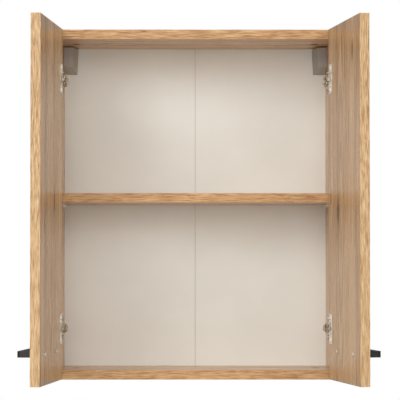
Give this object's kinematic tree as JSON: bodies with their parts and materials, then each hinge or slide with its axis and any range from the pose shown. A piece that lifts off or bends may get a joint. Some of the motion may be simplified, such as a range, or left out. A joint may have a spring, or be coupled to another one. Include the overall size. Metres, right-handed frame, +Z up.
{
  "type": "hanging wall cabinet",
  "caption": "Shallow oak-effect wall cabinet with an adjustable shelf, double doors on concealed hinges and black bar handles.",
  "frame": {"origin": "centre of the carcass underside", "axes": "+X to the right seen from the front, +Y to the wall, +Z up; the doors open towards -Y"},
  "size_m": [0.5871, 0.4571, 0.6],
  "materials": {
    "oak_board": "satin wood-effect laminate, grain along the length of each board",
    "white_back_panel": "smooth white lacquered fibreboard",
    "paper_tape": "matt paper tape",
    "nickel_steel": "nickel plated",
    "zinc_steel": "zinc plated",
    "grey_plastic": "fine textured moulding",
    "black_metal": "satin black",
    "beech_wood": "fluted beech dowel, bare"
  },
  "bodies": {
    "carcass": {"side_left": "oak_board", "side_right": "oak_board", "top_board": "oak_board", "bottom_board": "oak_board", "shelf": "oak_board", "back_tape": "paper_tape", "back_panel_left": "white_back_panel", "hanger_cover_left": "grey_plastic", "hanger_body_left": "zinc_steel", "hanger_hook_left": "zinc_steel", "cam_top_left": "zinc_steel", "cam_bolt_top_left": "zinc_steel", "dowel_top_left_front": "beech_wood", "dowel_top_left_rear": "beech_wood", "cam_bottom_left": "zinc_steel", "cam_bolt_bottom_left": "zinc_steel", "dowel_bottom_left_front": "beech_wood", "dowel_bottom_left_rear": "beech_wood", "shelf_pin_left_front": "zinc_steel", "shelf_pin_left_rear": "zinc_steel", "hinge_plate_left_lower": "nickel_steel", "hinge_arm_left_lower": "nickel_steel", "hinge_plate_left_upper": "nickel_steel", "hinge_arm_left_upper": "nickel_steel", "back_panel_right": "white_back_panel", "hanger_cover_right": "grey_plastic", "hanger_body_right": "zinc_steel", "hanger_hook_right": "zinc_steel", "cam_top_right": "zinc_steel", "cam_bolt_top_right": "zinc_steel", "dowel_top_right_front": "beech_wood", "dowel_top_right_rear": "beech_wood", "cam_bottom_right": "zinc_steel", "cam_bolt_bottom_right": "zinc_steel", "dowel_bottom_right_front": "beech_wood", "dowel_bottom_right_rear": "beech_wood", "shelf_pin_right_front": "zinc_steel", "shelf_pin_right_rear": "zinc_steel", "hinge_plate_right_lower": "nickel_steel", "hinge_arm_right_lower": "nickel_steel", "hinge_plate_right_upper": "nickel_steel", "hinge_arm_right_upper": "nickel_steel"},
    "door_left": {"door_left": "oak_board", "handle_left": "black_metal", "handle_screw_left_inner": "zinc_steel", "handle_screw_left_outer": "zinc_steel", "hinge_cup_left_lower": "nickel_steel", "hinge_cup_left_upper": "nickel_steel"},
    "hinge_links_left": {"hinge_link_left_lower": "nickel_steel", "hinge_link_left_upper": "nickel_steel"},
    "door_right": {"door_right": "oak_board", "handle_right": "black_metal", "handle_screw_right_inner": "zinc_steel", "handle_screw_right_outer": "zinc_steel", "hinge_cup_right_lower": "nickel_steel", "hinge_cup_right_upper": "nickel_steel"},
    "hinge_links_right": {"hinge_link_right_lower": "nickel_steel", "hinge_link_right_upper": "nickel_steel"}
  },
  "joints": [
    {"name": "door_left_swing", "type": "hinge", "parent": "carcass", "child": "door_left", "pos_m": [-0.2422, -0.1161, 0.3], "axis": [0, 0, -1], "range_deg": [-95, 3]},
    {"name": "hinge_links_left_turn", "type": "hinge", "parent": "door_left", "child": "hinge_links_left", "pos_m": [-0.23094, -0.12046, 0.3], "axis": [0, 0, 1], "range_deg": [-171.11, 6.37]},
    {"name": "door_right_swing", "type": "hinge", "parent": "carcass", "child": "door_right", "pos_m": [0.2422, -0.1161, 0.3], "axis": [0, 0, 1], "range_deg": [-97.9, 0.1]},
    {"name": "hinge_links_right_turn", "type": "hinge", "parent": "door_right", "child": "hinge_links_right", "pos_m": [0.23117, -0.12102, 0.3], "axis": [0, 0, -1], "range_deg": [-176.3, 1.18]}
  ],
  "couplings": [
    {"joint": "hinge_links_left_turn", "follows": "door_left_swing", "ratio": 1.7907},
    {"joint": "hinge_links_right_turn", "follows": "door_right_swing", "ratio": 1.7907}
  ]
}
